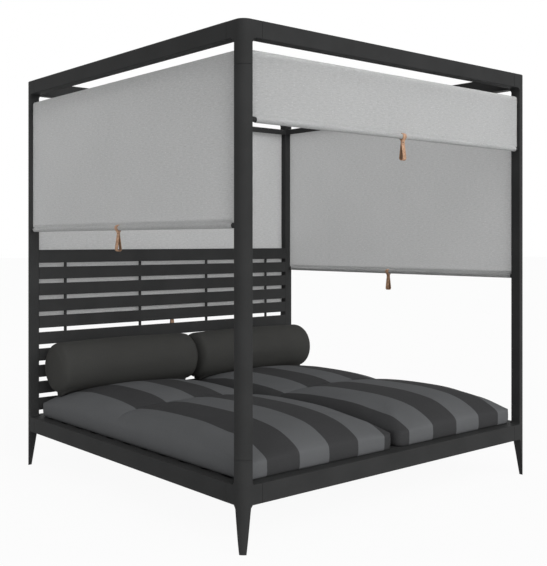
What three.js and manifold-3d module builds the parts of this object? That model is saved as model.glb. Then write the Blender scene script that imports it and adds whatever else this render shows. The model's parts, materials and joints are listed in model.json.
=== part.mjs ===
// Outdoor daybed: a square four-post aluminium frame, open at the top, with a roller blind
// on each side, a slatted headboard, two striped mattresses and two bolsters.
// Millimetres, +Z up. The origin is on the floor under the middle of the bed.
// The foot end faces -Y, the headboard stands at +Y.

import * as THREE from 'three';
import { mergeVertices } from 'three/addons/utils/BufferGeometryUtils.js';
import Module from 'manifold-3d';

const wasm = await Module();
wasm.setup();

// Overall frame
const bedWidth = 2000;
const bedLength = 2000;
const bedHeight = 2200;
const postSide = 57;
const cornerFlat = 12;
const edgeRadius = 3.5;
const tubeWall = 3;

// Clearances
const fitGap = 0.3;
const spigotGap = 0.4;
const overrun = 20;
const arcError = 0.15;
const weldDistance = 0.001;

// Base rails and the corner castings under the posts
const railBottom = 198;
const railHeight = 84;
const armLength = 50;
const stubHeight = 104;
const footWidth = 26;
const legTopWidth = 50;
const legFillet = 15;
const stubFillet = 10;
const innerCornerRadius = 6;
const spigotLength = 40;
const easeSteps = 2;
const filletSteps = 4;

// Top beams and the corner castings over the posts
const beamHeight = 76;
const dropLength = 110;
const topFillet = 18;

// Bed deck
const ledgeWidth = 20;
const ledgeThickness = 5;
const battenHeight = 10;
const deckSlatThickness = 12;
const deckSlatWall = 2.5;
const deckSlatWidth = 90;
const deckSlatCount = 12;
const deckCornerRadius = 10;
const battenWidth = 50;
const joistHeight = 62;
const joistWebThickness = 6;
const joistFlangeThickness = 5;
const joistFlangeWidth = 40;

// Headboard
const slatCount = 9;
const slatHeight = 70;
const slatGap = 24;
const slatThickness = 11;
const slatWall = 2;
const slatEdgeRadius = 2;
const slatInset = 0.5;
const lowestSlatRise = 32;
const topBoardHeight = 75;
const uprightWidth = 16;
const uprightDepth = 10;
const uprightEdge = 173;
const uprightCount = 4;
const uprightDrop = 12;

// Roller blinds
const rollerDrop = 135.5;
const rollerRadius = 12;
const rollerWall = 1.5;
const rollerPinRadius = 4;
const rollerBoreRadius = 1.6;
const rollerCapLength = 12;
const rollerSegments = 14;
const coilGap = 0.4;
const coilThickness = 3.1;
const coilFaceGap = 4.5;
const clothThickness = 1.6;
const clothEndGap = 4;
const hemPocketInset = 22;
const hemBarRadius = 11;
const hemBarWall = 1.5;
const hemBoreRadius = 2;
const hemKnobRadius = 10;
const hemKnobLength = 18;
const hemKnobStart = 2;
const hemEndGap = 1.5;
const hemSegments = 14;
const hemDrops = { front: 276, left: 714, right: 972, rear: 1239.5 };

// Head rail of each blind
const endPlateThickness = 3;
const endPlateHeight = 40;
const endPlateRadius = 6;
const pinGap = 0.4;
const fasciaRise = 11.5;
const fasciaHeight = 35;
const fasciaThickness = 2;
const fasciaLipGap = 0.5;
const fasciaInset = 3;
const fasciaRadius = 1.6;

// Leather pulls
const strapWidth = 20;
const strapThickness = 2.4;
const strapGap = 0.3;
const slotSideGap = 0.6;
const slotTopGap = 1.5;
const pullNeckDrop = 6.2;
const pullJoinLength = 12;
const pullLength = 116;
const pullBelly = 13;

// Mattresses
const mattressLap = 15;
const mattressSplit = 3;
const mattressBackGap = 4;
const mattressCorner = 54;
const mattressWaistRise = 70;
const mattressRise = 188;
const mattressFrontDrop = 57;
const mattressRearDrop = 66;
const mattressValleyDrop = 22;
const mattressSideDrop = 32;
const mattressBaseInset = 14;
const mattressFrontRoll = 150;
const mattressRoll = 90;
const frontLengthShares = { left: 0.555, right: 0.495 };
const rollSteps = 4;
const crownSteps = 6;
const crossSteps = 4;

// Bolsters
const bolsterRadius = 144;
const bolsterSideLap = 4;
const bolsterShift = 8;
const bolsterSink = 20;
const bolsterMiddleGap = 4;
const bolsterEndRadius = 60;
const bolsterEndDome = 10;
const bolsterSegments = 28;
const bolsterBackGap = 0.5;
const bolsterSamples = 300;

// Places worked out from the sizes above
const halfWidth = bedWidth / 2;
const halfLength = bedLength / 2;
const outerRadius = postSide - cornerFlat;
const armReach = postSide + armLength;
const railTop = railBottom + railHeight;
const stubTop = railTop + stubHeight;
const ledgeTop = railTop - deckSlatThickness - battenHeight;
const beamBottom = bedHeight - beamHeight;
const dropBottom = beamBottom - dropLength;
const slatFront = postSide - slatInset;
const slatBack = slatFront - slatThickness;
const lowestSlat = railTop + lowestSlatRise;
const rollerHeight = bedHeight - rollerDrop;
const coilRadius = rollerRadius + coilGap + coilThickness;
const fasciaFace = postSide - fasciaInset;
const fasciaTop = rollerHeight + fasciaRise;
const fasciaLip = fasciaThickness + coilFaceGap - fasciaLipGap;
const rollerDepth = fasciaFace - fasciaThickness - coilFaceGap - coilRadius;
const clothDepth = rollerDepth - coilRadius + clothThickness / 2;
const hemPocketRadius = hemBarRadius + coilGap + clothThickness;
const pullNeck = hemPocketRadius + strapGap + strapThickness + pullNeckDrop;
const pullJoin = pullNeck + pullJoinLength;
const mattressWaist = railTop + mattressWaistRise;
const mattressTop = railTop + mattressRise;
const mattressInset = postSide - mattressLap;
const mattressWidth = halfWidth - mattressInset - mattressSplit;
const mattressBack = halfLength - slatFront - mattressBackGap;
const mattressFront = mattressInset - halfLength;
const mattressMiddle = mattressSplit + mattressWidth / 2;
const bolsterPlace = halfLength - slatFront - bolsterBackGap - bolsterRadius;
const quarterTurn = Math.PI / 2;

const paint = new THREE.MeshStandardMaterial({ color: 0x3a3c3c, roughness: 0.55, metalness: 0.35 });
const bareMetal = new THREE.MeshStandardMaterial({ color: 0xb4b6b8, roughness: 0.4, metalness: 0.9 });
const blindCloth = new THREE.MeshStandardMaterial({ color: 0xb8b8b7, roughness: 0.95, metalness: 0 });
const stripeCloth = new THREE.MeshStandardMaterial({ color: 0x5c5e60, roughness: 0.95, metalness: 0 });
const bolsterCloth = new THREE.MeshStandardMaterial({ color: 0x434342, roughness: 0.95, metalness: 0 });
const leather = new THREE.MeshStandardMaterial({ color: 0xb08c64, roughness: 0.7, metalness: 0 });

const lengthAlongX = new THREE.Matrix4().makeBasis(
  new THREE.Vector3(0, 1, 0), new THREE.Vector3(0, 0, 1), new THREE.Vector3(1, 0, 0));

// Points along an arc, close enough together to stay within the arc error
function arcPoints(x, y, radius, from, to, steps = 0) {
  const step = 2 * Math.acos(1 - Math.min(arcError / radius, 1));
  const count = steps || Math.max(2, Math.ceil(Math.abs(to - from) / step));
  return Array.from({ length: count + 1 }, (_, i) => {
    const angle = from + (to - from) * i / count;
    return new THREE.Vector2(x + radius * Math.cos(angle), y + radius * Math.sin(angle));
  });
}

// A closed outline from corners given as [x, y, radius], with sharp ones where no radius is given
function rounded(corners) {
  const points = [];
  corners.forEach(([x, y, radius], i) => {
    const here = new THREE.Vector2(x, y);
    if (!radius) {
      points.push(here);
      return;
    }
    const [px, py] = corners.at(i - 1);
    const [nx, ny] = corners[(i + 1) % corners.length];
    const before = new THREE.Vector2(px, py).sub(here).normalize();
    const after = new THREE.Vector2(nx, ny).sub(here).normalize();
    const half = Math.acos(before.dot(after)) / 2;
    const reach = radius / Math.tan(half);
    const middle = before.clone().add(after).normalize();
    const centre = here.clone().addScaledVector(middle, radius / Math.sin(half));
    const start = here.clone().addScaledVector(before, reach).sub(centre).angle();
    const end = here.clone().addScaledVector(after, reach).sub(centre).angle();
    const turn = THREE.MathUtils.euclideanModulo(end - start + Math.PI, 2 * Math.PI) - Math.PI;
    points.push(...arcPoints(centre.x, centre.y, radius, start, start + turn));
  });
  return points;
}

// A rectangle's four corners, all with one radius
function rectangle(x0, x1, y0, y1, radius = 0) {
  return rounded([[x0, y0, radius], [x1, y0, radius], [x1, y1, radius], [x0, y1, radius]]);
}

// A solid for joining and cutting from a closed three.js geometry
function solid(geometry) {
  const bare = new THREE.BufferGeometry();
  bare.setAttribute('position', geometry.attributes.position);
  if (geometry.index) bare.setIndex(geometry.index);
  const merged = mergeVertices(bare, weldDistance);
  return new wasm.Manifold(new wasm.Mesh({
    numProp: 3,
    vertProperties: new Float32Array(merged.attributes.position.array),
    triVerts: new Uint32Array(merged.index.array),
  }));
}

// An upright prism on a plan outline, with optional holes right through it
function upright(points, bottom, top, holes = []) {
  const shape = new THREE.Shape(points);
  const geometry = new THREE.ExtrudeGeometry(shape, { depth: top - bottom, bevelEnabled: false });
  const body = solid(geometry.translate(0, 0, bottom));
  return holes.reduce((rest, hole) => rest.subtract(upright(hole, bottom - overrun, top + overrun)), body);
}

// A prism along X on an outline in Y and Z, with optional holes right through it
function along(points, start, end, holes = []) {
  const shape = new THREE.Shape(points);
  const geometry = new THREE.ExtrudeGeometry(shape, { depth: end - start, bevelEnabled: false });
  const body = solid(geometry.translate(0, 0, start).applyMatrix4(lengthAlongX));
  return holes.reduce((rest, hole) => rest.subtract(along(hole, start - overrun, end + overrun)), body);
}

function block(x0, x1, y0, y1, z0, z1) {
  const box = new THREE.BoxGeometry(x1 - x0, y1 - y0, z1 - z0);
  return solid(box.translate((x0 + x1) / 2, (y0 + y1) / 2, (z0 + z1) / 2));
}

// A skin over convex rings of equally many points, from the lowest ring up, counter-clockwise
function loft(rings) {
  const count = rings[0].length;
  const index = [];
  for (let level = 0; level + 1 < rings.length; level++) {
    for (let i = 0; i < count; i++) {
      const a = level * count + i;
      const b = level * count + (i + 1) % count;
      index.push(a, b, b + count, a, b + count, a + count);
    }
  }
  const last = (rings.length - 1) * count;
  for (let i = 1; i + 1 < count; i++) {
    index.push(0, i + 1, i, last, last + i, last + i + 1);
  }
  const geometry = new THREE.BufferGeometry();
  geometry.setAttribute('position', new THREE.Float32BufferAttribute(rings.flat(2), 3));
  geometry.setIndex(index);
  return solid(geometry);
}

// A turned piece along X from a profile of [place, radius] points that closes on itself
function turned(profile, segments) {
  const points = profile.map(([place, radius]) => new THREE.Vector2(radius, place));
  points.push(points[0].clone());
  return solid(new THREE.LatheGeometry(points, segments).rotateZ(-quarterTurn));
}

function piece(name, body, material) {
  const { vertProperties, triVerts } = body.getMesh();
  const geometry = new THREE.BufferGeometry();
  geometry.setAttribute('position', new THREE.BufferAttribute(vertProperties, 3));
  geometry.setIndex(new THREE.BufferAttribute(triVerts, 1));
  geometry.computeVertexNormals();
  const mesh = new THREE.Mesh(geometry, material);
  mesh.name = name;
  return mesh;
}

// The four corners: the outer corner of each post, with the arms turned to run inwards
const corners = [
  { name: 'front_left', x: -halfWidth, y: -halfLength, turn: 0 },
  { name: 'front_right', x: halfWidth, y: -halfLength, turn: quarterTurn },
  { name: 'rear_right', x: halfWidth, y: halfLength, turn: 2 * quarterTurn },
  { name: 'rear_left', x: -halfWidth, y: halfLength, turn: 3 * quarterTurn },
];

// The four sides: x runs along the side, y from its outer face inwards
const sides = [
  { name: 'front', x: 0, y: -halfLength, turn: 0, half: halfWidth },
  { name: 'right', x: halfWidth, y: 0, turn: quarterTurn, half: halfLength },
  { name: 'rear', x: 0, y: halfLength, turn: 2 * quarterTurn, half: halfWidth },
  { name: 'left', x: -halfWidth, y: 0, turn: 3 * quarterTurn, half: halfLength },
];

// Corner castings

// The post's section, drawn in by an inset
function postPlan(inset = 0) {
  const near = inset;
  const far = postSide - inset;
  const small = Math.max(edgeRadius - inset, 0);
  return rounded([[near, near, outerRadius - inset], [far, near, small], [far, far, small], [near, far, small]]);
}

// Two arms that meet behind one large outer corner
function armPlan(reach) {
  return rounded([
    [0, 0, outerRadius], [reach, 0], [reach, postSide], [postSide, postSide, innerCornerRadius],
    [postSide, reach], [0, reach],
  ]);
}

// Both arms of a corner with eased long edges, cut square at the seams
function arms(bottom, top) {
  const geometry = new THREE.ExtrudeGeometry(new THREE.Shape(armPlan(armReach + overrun)), {
    depth: top - bottom - 2 * edgeRadius,
    bevelThickness: edgeRadius,
    bevelSize: edgeRadius,
    bevelOffset: -edgeRadius,
    bevelSegments: easeSteps,
  });
  const cut = block(-overrun, armReach, -overrun, armReach, bottom - overrun, top + overrun);
  return solid(geometry.translate(0, 0, bottom + edgeRadius)).intersect(cut);
}

function squareRing(width, height, radius) {
  return rounded([[0, 0], [width, 0, radius], [width, width, radius], [0, width, radius]])
    .map(point => [point.x, point.y, height]);
}

// The concave sweep between a post's inner faces and the arms; a direction of -1 turns it down
function fillet(armFace, radius, direction) {
  const rings = [];
  for (let i = 0; i <= filletSteps; i++) {
    const angle = quarterTurn * i / filletSteps;
    const width = postSide + radius * (1 - Math.sin(angle));
    rings.push(squareRing(width, armFace + direction * radius * (1 - Math.cos(angle)), 0));
  }
  rings.unshift(squareRing(postSide + radius, armFace - direction * edgeRadius, 0));
  if (direction < 0) rings.reverse();
  const clip = upright(armPlan(armReach), armFace - radius - overrun, armFace + radius + overrun);
  return loft(rings).intersect(clip);
}

// Tongues that slide into the two tubes beside a corner
function armSpigots(bottom, top) {
  const inset = tubeWall + spigotGap;
  const tip = armReach + spigotLength;
  const root = postSide;
  const low = bottom + inset;
  const high = top - inset;
  const alongX = block(root, tip, inset, postSide - inset, low, high);
  return alongX.add(block(inset, postSide - inset, root, tip, low, high));
}

// The leg narrows to its foot on its two inner faces and flares out under the rails
function leg() {
  const rings = [squareRing(footWidth, 0, edgeRadius)];
  for (let i = 0; i <= filletSteps; i++) {
    const angle = quarterTurn * i / filletSteps;
    const rise = legFillet * Math.sin(angle);
    const share = (railBottom - legFillet + rise) / railBottom;
    const taper = footWidth + (legTopWidth - footWidth) * share;
    const width = Math.min(taper + legFillet * (1 - Math.cos(angle)), postSide);
    rings.push(squareRing(width, railBottom - legFillet + rise, edgeRadius));
  }
  rings.push(squareRing(postSide, railBottom + edgeRadius * 2, edgeRadius));
  return loft(rings).intersect(upright(postPlan(), -overrun, railTop));
}

function baseCorner() {
  const spigot = upright(postPlan(tubeWall + spigotGap), railTop, stubTop + spigotLength);
  return arms(railBottom, railTop)
    .add(upright(postPlan(), railBottom + edgeRadius, stubTop))
    .add(leg())
    .add(fillet(railTop, stubFillet, 1))
    .add(armSpigots(railBottom, railTop))
    .add(spigot);
}

function topCorner() {
  const spigot = upright(postPlan(tubeWall + spigotGap), dropBottom - spigotLength, beamBottom);
  return arms(beamBottom, bedHeight)
    .add(upright(postPlan(), dropBottom, bedHeight - edgeRadius * 2))
    .add(fillet(beamBottom, topFillet, -1))
    .add(armSpigots(beamBottom, bedHeight))
    .add(spigot);
}

function post() {
  return upright(postPlan(), stubTop + fitGap, dropBottom - fitGap, [postPlan(tubeWall)]);
}

// Tubes along each side

function sideTube(half, bottom, top, outline) {
  const reach = half - armReach - fitGap;
  const hollow = rectangle(tubeWall, postSide - tubeWall, bottom + tubeWall, top - tubeWall);
  return along(outline, -reach, reach, [hollow]);
}

// A base rail is a box tube with an inner ledge that carries the deck
function rail(half) {
  const inner = postSide + ledgeWidth;
  const outline = rounded([
    [0, railBottom, edgeRadius], [postSide, railBottom, edgeRadius],
    [postSide, ledgeTop - ledgeThickness], [inner, ledgeTop - ledgeThickness], [inner, ledgeTop],
    [postSide, ledgeTop], [postSide, railTop, edgeRadius], [0, railTop, edgeRadius],
  ]);
  return sideTube(half, railBottom, railTop, outline);
}

function beam(half) {
  return sideTube(half, beamBottom, bedHeight, rectangle(0, postSide, beamBottom, bedHeight, edgeRadius));
}

// Deck

// Channel slats, open underneath, joined by two side battens that lie on the rail ledges
function deck() {
  const x = halfWidth - postSide - fitGap;
  const y = halfLength - postSide - fitGap;
  const slatBottom = railTop - deckSlatThickness;
  const pitch = (2 * y - deckSlatWidth) / (deckSlatCount - 1);
  let body = block(-x, battenWidth - x, -y, y, ledgeTop + fitGap, slatBottom)
    .add(block(x - battenWidth, x, -y, y, ledgeTop + fitGap, slatBottom));
  for (let i = 0; i < deckSlatCount; i++) {
    const start = pitch * i - y;
    const end = start + deckSlatWidth;
    const channel = rounded([
      [start, slatBottom], [start + deckSlatWall, slatBottom], [start + deckSlatWall, railTop - deckSlatWall],
      [end - deckSlatWall, railTop - deckSlatWall], [end - deckSlatWall, slatBottom], [end, slatBottom],
      [end, railTop], [start, railTop],
    ]);
    body = body.add(along(channel, -x, x));
  }
  return body.intersect(upright(rectangle(-x, x, -y, y, deckCornerRadius), railBottom, railTop + overrun));
}

// A tee section under the middle of the deck, notched at its ends to lie on the ledges
function centreJoist() {
  const end = halfLength - postSide - fitGap;
  const clear = end - ledgeWidth - fitGap;
  const top = railTop - deckSlatThickness - fitGap;
  const outline = [
    [-end, ledgeTop + fitGap], [-clear, ledgeTop + fitGap], [-clear, top - joistHeight],
    [clear, top - joistHeight], [clear, ledgeTop + fitGap], [end, ledgeTop + fitGap],
    [end, top], [-end, top],
  ];
  const web = along(rounded(outline), -joistWebThickness / 2, joistWebThickness / 2);
  const side = joistFlangeWidth / 2;
  return web.add(block(-side, side, -end, end, top - joistFlangeThickness, top));
}

// Headboard

// A flat hollow slat between the two rear posts
function board(half, bottom, height) {
  const reach = half - postSide - fitGap;
  const top = bottom + height;
  const hollow = rectangle(slatBack + slatWall, slatFront - slatWall, bottom + slatWall, top - slatWall);
  return along(rectangle(slatBack, slatFront, bottom, top, slatEdgeRadius), -reach, reach, [hollow]);
}

function headboardUpright(place, top) {
  const side = uprightWidth / 2;
  const front = slatBack - fitGap;
  const plan = rectangle(place - side, place + side, front - uprightDepth, front, slatEdgeRadius);
  return upright(plan, railTop + fitGap, top);
}

// Roller blinds

// A tube on two end pins, bored through from end to end
function roller(half) {
  const end = half - postSide - clothEndGap;
  const pinEnd = half - postSide - fitGap * 2;
  const hollow = end - rollerCapLength;
  const inner = rollerRadius - rollerWall;
  return turned([
    [-pinEnd, rollerPinRadius], [-end, rollerPinRadius], [-end, rollerRadius],
    [end, rollerRadius], [end, rollerPinRadius], [pinEnd, rollerPinRadius],
    [pinEnd, rollerBoreRadius], [hollow, rollerBoreRadius], [hollow, inner],
    [-hollow, inner], [-hollow, rollerBoreRadius], [-pinEnd, rollerBoreRadius],
  ], rollerSegments);
}

// Cloth wound on the roller, hanging down its outer side and sewn round the hem bar
function cloth(half, hemHeight) {
  const reach = half - postSide - clothEndGap;
  const outer = clothDepth - clothThickness / 2;
  const inner = clothDepth + clothThickness / 2;
  const leave = Math.PI - Math.asin(clothThickness / coilRadius);
  const seam = Math.asin(clothThickness / 2 / hemPocketRadius);
  const coil = arcPoints(rollerDepth, rollerHeight, coilRadius, -leave, Math.PI);
  const pocket = arcPoints(clothDepth, hemHeight, hemPocketRadius,
    quarterTurn + seam, quarterTurn - seam + 2 * Math.PI);
  const tube = arcPoints(rollerDepth, rollerHeight, rollerRadius + coilGap, 0, 2 * Math.PI).slice(1);
  const sleeve = arcPoints(clothDepth, hemHeight, hemBarRadius + coilGap, 0, 2 * Math.PI).slice(1);
  pocket[0].x = outer;
  pocket.at(-1).x = inner;
  coil[0].x = inner;
  let body = along([...coil, ...pocket], -reach, reach, [tube, sleeve]);
  const ends = reach - hemPocketInset;
  const low = hemHeight - hemPocketRadius;
  const slotTop = hemHeight + hemPocketRadius + strapGap + strapThickness + slotTopGap;
  const side = strapWidth / 2 + slotSideGap;
  const deep = clothDepth + hemPocketRadius + overrun;
  const slot = block(-side, side, -overrun, deep, hemHeight + hemPocketRadius, slotTop);
  body = body.subtract(slot);
  for (const [start, end] of [[-reach - overrun, -ends], [ends, reach + overrun]]) {
    body = body.subtract(block(start, end, -overrun, deep, low - overrun, hemHeight + hemPocketRadius));
  }
  return body;
}

// A weighted tube with a round knob on each end
function hemBar(half) {
  const end = half - postSide - hemEndGap;
  const neck = end - hemKnobLength;
  const inner = hemBarRadius - hemBarWall;
  const dome = arcPoints(end - hemKnobRadius, 0, hemKnobRadius, quarterTurn, 0)
    .filter(point => point.y > hemBoreRadius)
    .map(point => [point.x, point.y]);
  const right = [
    [neck, hemBarRadius], [neck, hemKnobRadius], ...dome, [dome.at(-1)[0], hemBoreRadius],
    [neck - hemKnobStart, hemBoreRadius], [neck - hemKnobStart, inner],
  ];
  const left = right.map(([place, radius]) => [-place, radius]).reverse();
  return turned([...right, ...left], hemSegments);
}

// Two end plates that hold the roller pins, joined by a shallow channel on the inner side
function headRail(half) {
  const end = half - postSide - fitGap;
  const face = fasciaFace;
  const bottom = fasciaTop - fasciaHeight;
  const back = face - fasciaLip;
  const channel = rounded([
    [back, bottom], [face, bottom, fasciaRadius], [face, fasciaTop, fasciaRadius], [back, fasciaTop],
    [back, fasciaTop - fasciaThickness], [face - fasciaThickness, fasciaTop - fasciaThickness],
    [face - fasciaThickness, bottom + fasciaThickness], [back, bottom + fasciaThickness],
  ]);
  const plateTop = bottom + endPlateHeight;
  const plate = rectangle(rollerDepth - coilRadius, face, bottom, plateTop, endPlateRadius);
  const hole = arcPoints(rollerDepth, rollerHeight, rollerPinRadius + pinGap, 0, 2 * Math.PI).slice(1);
  return along(channel, -end, end)
    .add(along(plate, -end, endPlateThickness - end, [hole]))
    .add(along(plate, end - endPlateThickness, end, [hole]));
}

// A strap threaded over the hem, pinched together by a rivet and hanging in a slim drop
function pull(hemHeight) {
  const inside = hemPocketRadius + strapGap;
  const outside = inside + strapThickness;
  const pinch = strapThickness + strapGap;
  const belly = pullLength - pullBelly;
  const at = (side, drop) => new THREE.Vector2(clothDepth + side, hemHeight - drop);
  const ring = (radius, drop) => {
    const open = Math.acos(radius / drop);
    return arcPoints(clothDepth, hemHeight, radius, open - quarterTurn, 3 * quarterTurn - open);
  };
  const bottom = radius => arcPoints(clothDepth, hemHeight - belly, radius, -Math.PI, 0);
  const outerLine = [
    ...ring(outside, pullNeck), at(-pinch, pullNeck), at(-pinch, pullJoin),
    ...bottom(pullBelly), at(pinch, pullJoin), at(pinch, pullNeck),
  ];
  const neck = pullNeck - strapThickness;
  const join = pullJoin + strapThickness;
  const eye = [...ring(inside, neck), at(-strapGap, neck), at(strapGap, neck)];
  const loop = [at(-strapGap, join), ...bottom(pullBelly - strapThickness), at(strapGap, join)];
  return along(outerLine, -strapWidth / 2, strapWidth / 2, [eye, loop]);
}

// Soft pieces

// Places across a cushion: close together over the rolled edges, even between them
function places(start, end, startRoll, breaks, steps) {
  const edge = roll => Array.from({ length: rollSteps }, (_, i) =>
    roll * (1 - Math.cos(quarterTurn * i / rollSteps)));
  const stops = [start + startRoll, ...breaks, end - mattressRoll];
  const middle = stops.slice(1).flatMap((stop, i) =>
    Array.from({ length: steps }, (_, j) => stops[i] + (stop - stops[i]) * j / steps));
  const last = [mattressRoll, ...edge(mattressRoll).toReversed()];
  return [...edge(startRoll).map(d => start + d), ...middle, ...last.map(d => end - d)];
}

// The unit square of a corner drawn into a quarter disc
function roundCorner(x, y, halfX, halfY) {
  const p = Math.max(Math.abs(x) - halfX + mattressCorner, 0) / mattressCorner;
  const q = Math.max(Math.abs(y) - halfY + mattressCorner, 0) / mattressCorner;
  if (!p || !q) return [x, y, Math.min(halfX - Math.abs(x), halfY - Math.abs(y))];
  const u = p * Math.sqrt(1 - q * q / 2);
  const v = q * Math.sqrt(1 - p * p / 2);
  const newX = Math.sign(x) * (halfX - mattressCorner * (1 - u));
  const newY = Math.sign(y) * (halfY - mattressCorner * (1 - v));
  return [newX, newY, mattressCorner * (1 - Math.hypot(u, v))];
}

function valleyPlace(name) {
  return THREE.MathUtils.lerp(mattressFront, mattressBack, frontLengthShares[name]);
}

// Height of a mattress's upper face before its edges roll down: two crowned lengths and a valley
function crownHeight(y, crossShare, valley) {
  const [end, endDrop] = y < valley ? [mattressFront, mattressFrontDrop] : [mattressBack, mattressRearDrop];
  const share = (y - valley) / (end - valley) * 2 - 1;
  const drop = share > 0 ? endDrop * share ** 2 : mattressValleyDrop * Math.abs(share) ** 3;
  return mattressTop - drop - mattressSideDrop * crossShare ** 2;
}

function mattressRows(half, middle, valley) {
  return places(-half, half, mattressFrontRoll, [valley - middle], crownSteps);
}

function rollShare(depth, width) {
  const rest = 1 - Math.min(depth / width, 1);
  return Math.sqrt(1 - rest * rest);
}

// Share of the crown's height left at a place, where the front edge rolls down wider than the rest
function edgeShare(x, y, halfX, halfY) {
  const across = rollShare(halfX - Math.abs(x), mattressRoll);
  return across * rollShare(halfY - Math.abs(y), y < 0 ? mattressFrontRoll : mattressRoll);
}

// A cushion skin: an upper and a lower face on one grid, joined at the waist
function mattress(valley) {
  const halfX = mattressWidth / 2;
  const halfY = (mattressBack - mattressFront) / 2;
  const centreY = (mattressBack + mattressFront) / 2;
  const columns = places(-halfX, halfX, mattressRoll, [], crossSteps);
  const rows = mattressRows(halfY, centreY, valley);
  const bottom = railTop + fitGap;
  const positions = [];
  const number = new Map();
  const vertex = (i, j, upper) => {
    const rim = i === 0 || j === 0 || i === columns.length - 1 || j === rows.length - 1;
    const key = `${i},${j},${rim || upper}`;
    if (!number.has(key)) {
      const [x, y, depth] = roundCorner(columns[i], rows[j], halfX, halfY);
      const crown = crownHeight(y + centreY, x / halfX, valley);
      const height = upper
        ? mattressWaist + (crown - mattressWaist) * edgeShare(x, y, halfX, halfY)
        : mattressWaist - (mattressWaist - bottom) * rollShare(depth, mattressBaseInset);
      number.set(key, positions.length / 3);
      positions.push(x, y + centreY, rim ? mattressWaist : height);
    }
    return number.get(key);
  };
  const index = [];
  for (let i = 0; i + 1 < columns.length; i++) {
    for (let j = 0; j + 1 < rows.length; j++) {
      for (const upper of [true, false]) {
        const a = vertex(i, j, upper);
        const b = vertex(i + 1, j, upper);
        const c = vertex(i + 1, j + 1, upper);
        const d = vertex(i, j + 1, upper);
        index.push(...(upper ? [a, b, c, a, c, d] : [a, c, b, a, d, c]));
      }
    }
  }
  const geometry = new THREE.BufferGeometry();
  geometry.setAttribute('position', new THREE.Float32BufferAttribute(positions, 3));
  geometry.setIndex(index);
  return solid(geometry).subtract(bolsterNest(valley));
}

// The hollow that a bolster presses into the rear of a mattress
function bolsterNest(valley) {
  const radius = bolsterRadius + fitGap;
  const roll = turned([[-halfWidth, 0], [-halfWidth, radius], [halfWidth, radius], [halfWidth, 0]], bolsterSegments);
  return roll.translate(0, bolsterPlace, bolsterHeight(valley));
}

// Height at a place along a line of straight steps
function heightOn(line, place) {
  const next = line.findIndex(point => point.x >= place);
  const [a, b] = [line[Math.max(next, 1) - 1], line[Math.max(next, 1)]];
  return THREE.MathUtils.mapLinear(place, a.x, b.x, a.y, b.y);
}

// Height of a bolster's axis: the lowest that clears its mattress, less how far it presses in
function bolsterHeight(valley) {
  const length = (mattressBack - mattressFront) / 2;
  const middle = (mattressBack + mattressFront) / 2;
  const top = mattressRows(length, middle, valley).map(y => {
    const rise = crownHeight(y + middle, 0, valley) - mattressWaist;
    return new THREE.Vector2(y + middle, mattressWaist + rise * edgeShare(0, y, mattressWidth / 2, length));
  });
  const underside = arcPoints(0, 0, bolsterRadius, -Math.PI, 0, bolsterSegments / 2);
  let seat = railTop;
  for (let i = 0; i <= bolsterSamples; i++) {
    const offset = bolsterRadius * (2 * i / bolsterSamples - 1);
    if (bolsterPlace + offset < mattressBack) {
      seat = Math.max(seat, heightOn(top, bolsterPlace + offset) - heightOn(underside, offset));
    }
  }
  return seat - bolsterSink;
}

// A stuffed roll with softly rounded ends and slightly domed end discs
function bolster() {
  const half = (halfWidth - postSide + bolsterSideLap - bolsterMiddleGap) / 2;
  const shoulder = half - bolsterEndDome - bolsterEndRadius;
  const disc = bolsterRadius - bolsterEndRadius;
  const end = arcPoints(shoulder, disc, bolsterEndRadius, quarterTurn, 0, 5).map(({ x, y }) => [x, y]);
  const right = [...end, [half - bolsterEndDome / 3, disc / 2], [half, 0]];
  const left = right.map(([place, radius]) => [-place, radius]).reverse();
  const points = [...left, ...right].map(([place, radius]) => new THREE.Vector2(radius, place));
  return solid(new THREE.LatheGeometry(points, bolsterSegments).rotateZ(-quarterTurn));
}

// Assembly

function placed({ x, y, turn }, ...meshes) {
  const group = new THREE.Group();
  group.position.set(x, y, 0);
  group.rotation.z = turn;
  group.add(...meshes);
  return group;
}

const daybed = new THREE.Group();

for (const corner of corners) {
  daybed.add(placed(corner,
    piece(`base_corner_${corner.name}`, baseCorner(), paint),
    piece(`post_${corner.name}`, post(), paint),
    piece(`top_corner_${corner.name}`, topCorner(), paint)));
}

for (const side of sides) {
  const hemHeight = rollerHeight - hemDrops[side.name];
  const blind = placed(side,
    piece(`base_rail_${side.name}`, rail(side.half), paint),
    piece(`top_beam_${side.name}`, beam(side.half), paint),
    piece(`head_rail_${side.name}`, headRail(side.half), paint),
    piece(`blind_cloth_${side.name}`, cloth(side.half, hemHeight), blindCloth),
    piece(`pull_${side.name}`, pull(hemHeight), leather));
  const tube = piece(`roller_${side.name}`, roller(side.half), bareMetal);
  const bar = piece(`hem_bar_${side.name}`, hemBar(side.half), paint);
  tube.position.set(0, rollerDepth, rollerHeight);
  bar.position.set(0, clothDepth, hemHeight);
  blind.add(tube, bar);
  daybed.add(blind);
}

const rear = sides.find(side => side.name === 'rear');
const slatPitch = slatHeight + slatGap;
const topBoardBottom = lowestSlat + slatCount * slatPitch;
for (let i = 0; i < slatCount; i++) {
  const slat = board(rear.half, lowestSlat + i * slatPitch, slatHeight);
  daybed.add(placed(rear, piece(`headboard_slat_${i + 1}`, slat, paint)));
}
daybed.add(placed(rear, piece('headboard_top', board(rear.half, topBoardBottom, topBoardHeight), paint)));
for (let i = 0; i < uprightCount; i++) {
  const reach = rear.half - postSide - uprightEdge;
  const place = THREE.MathUtils.lerp(-reach, reach, i / (uprightCount - 1));
  const stile = headboardUpright(place, topBoardBottom + topBoardHeight - uprightDrop);
  daybed.add(placed(rear, piece(`headboard_upright_${i + 1}`, stile, paint)));
}

daybed.add(piece('deck', deck(), paint), piece('centre_joist', centreJoist(), paint));

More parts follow.
